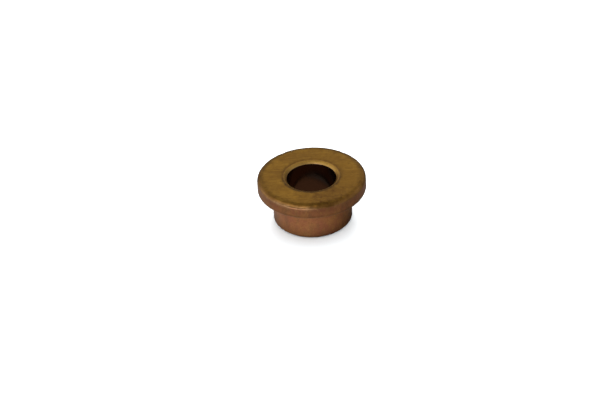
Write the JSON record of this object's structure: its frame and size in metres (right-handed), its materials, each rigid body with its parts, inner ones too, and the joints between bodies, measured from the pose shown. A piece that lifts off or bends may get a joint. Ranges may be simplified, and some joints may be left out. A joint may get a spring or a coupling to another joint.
{
  "type": "flanged sleeve bushing",
  "caption": "Sintered bronze plain bearing: a short press-fit barrel with a thrust flange and a smooth through bore for a turning shaft.",
  "frame": {"origin": "centre of the barrel's end face, on the bore axis: the middle of the bounding box's underside", "axes": "+Z along the bore axis, from the barrel's end towards the flange and its thrust face"},
  "size_m": [0.022, 0.022, 0.01],
  "materials": {
    "bronze": "satin"
  },
  "bodies": {
    "root": {"flanged_bushing": "bronze"}
  },
  "joints": []
}
